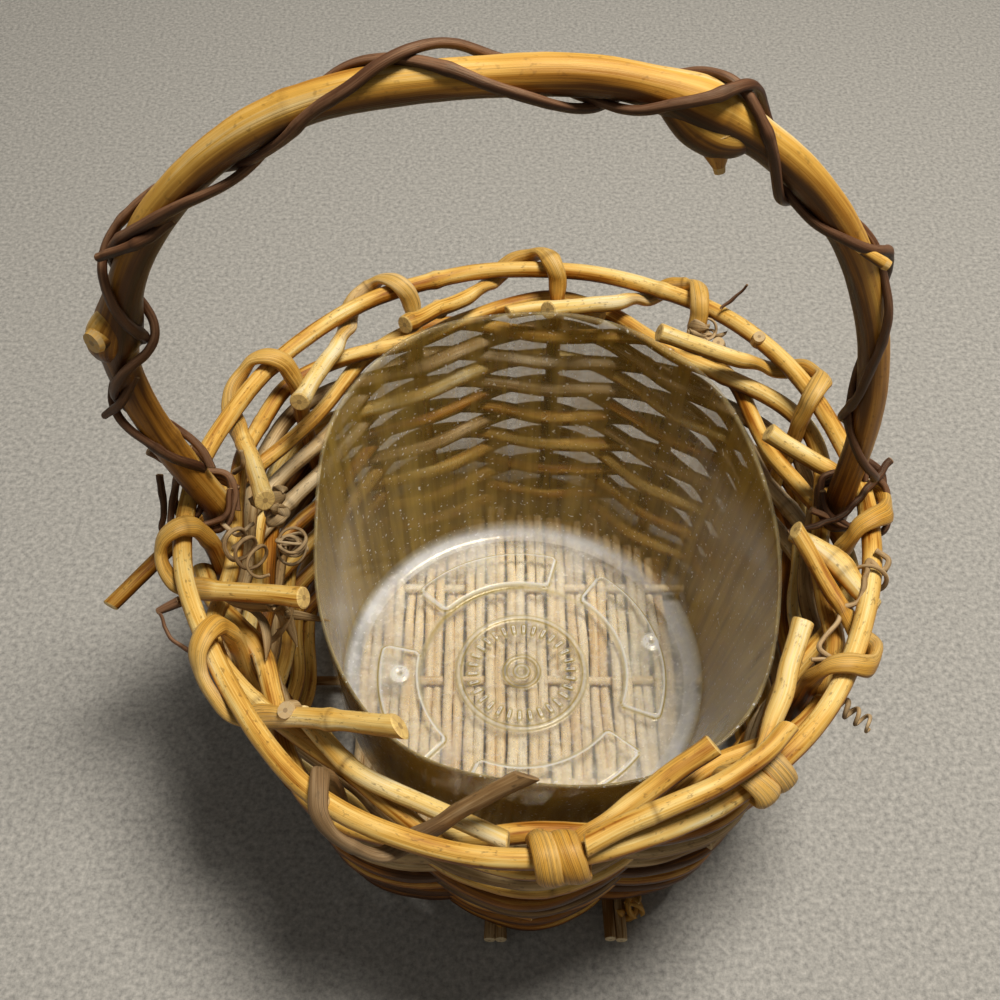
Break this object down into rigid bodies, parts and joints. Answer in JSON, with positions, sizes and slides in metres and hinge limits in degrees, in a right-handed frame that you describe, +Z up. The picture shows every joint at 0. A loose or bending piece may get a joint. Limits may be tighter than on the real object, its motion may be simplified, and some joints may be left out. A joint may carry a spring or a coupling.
{
  "type": "vine basket with liner",
  "caption": "Small round basket woven of willow and grapevine rods, with a fixed arched vine handle and a removable clear plastic liner",
  "frame": {"origin": "on the ground under the centre of the base, at the mount base_rest", "axes": "+Z up, +X to the right along the handle, -Y to the front of the basket"},
  "size_m": [0.2412, 0.2298, 0.2572],
  "materials": {
    "willow_rod": "natural",
    "base_rod": "natural",
    "handle_vine": "natural",
    "dark_vine": "natural",
    "clear_liner": "gloss"
  },
  "bodies": {
    "basket": {"rim_hoop": "willow_rod", "stake_01": "willow_rod", "stake_02": "willow_rod", "stake_03": "willow_rod", "stake_04": "willow_rod", "stake_05": "willow_rod", "stake_06": "willow_rod", "stake_07": "willow_rod", "stake_08": "willow_rod", "stake_09": "willow_rod", "stake_10": "willow_rod", "stake_11": "willow_rod", "stake_12": "willow_rod", "weaver_01": "willow_rod", "weaver_02": "willow_rod", "weaver_03": "willow_rod", "weaver_04": "willow_rod", "weaver_05": "willow_rod", "weaver_06": "willow_rod", "weaver_07": "willow_rod", "weaver_08": "willow_rod", "weaver_09": "willow_rod", "weaver_10": "willow_rod", "weaver_11": "willow_rod", "weaver_12": "willow_rod", "weaver_13": "willow_rod", "weaver_14": "willow_rod", "weaver_15": "willow_rod", "border_rod_left": "willow_rod", "border_rod_back": "willow_rod", "border_rod_front": "willow_rod", "base_cross_stick_01": "base_rod", "base_cross_stick_02": "base_rod", "base_cross_stick_03": "base_rod", "base_pair_01": "base_rod", "base_pair_02": "base_rod", "base_pair_03": "base_rod", "base_pair_04": "base_rod", "base_pair_05": "base_rod", "base_pair_06": "base_rod", "base_pair_07": "base_rod", "base_pair_08": "base_rod", "base_pair_09": "base_rod", "base_pair_10": "base_rod", "base_pair_11": "base_rod", "base_pair_12": "base_rod", "base_pair_13": "base_rod", "base_pair_14": "base_rod", "base_pair_15": "base_rod", "handle_vine": "handle_vine", "binding_vine_left_hand": "dark_vine", "binding_vine_right_hand": "dark_vine", "lashing_left": "dark_vine", "lashing_right": "dark_vine", "tendril_left": "dark_vine", "tendril_right": "dark_vine", "tendril_front": "dark_vine"},
    "liner": {"liner": "clear_liner"}
  },
  "joints": [
    {"name": "liner_lift", "type": "slide", "parent": "basket", "child": "liner", "axis": [0, 0, 1], "range_m": [0, 0.075]}
  ]
}
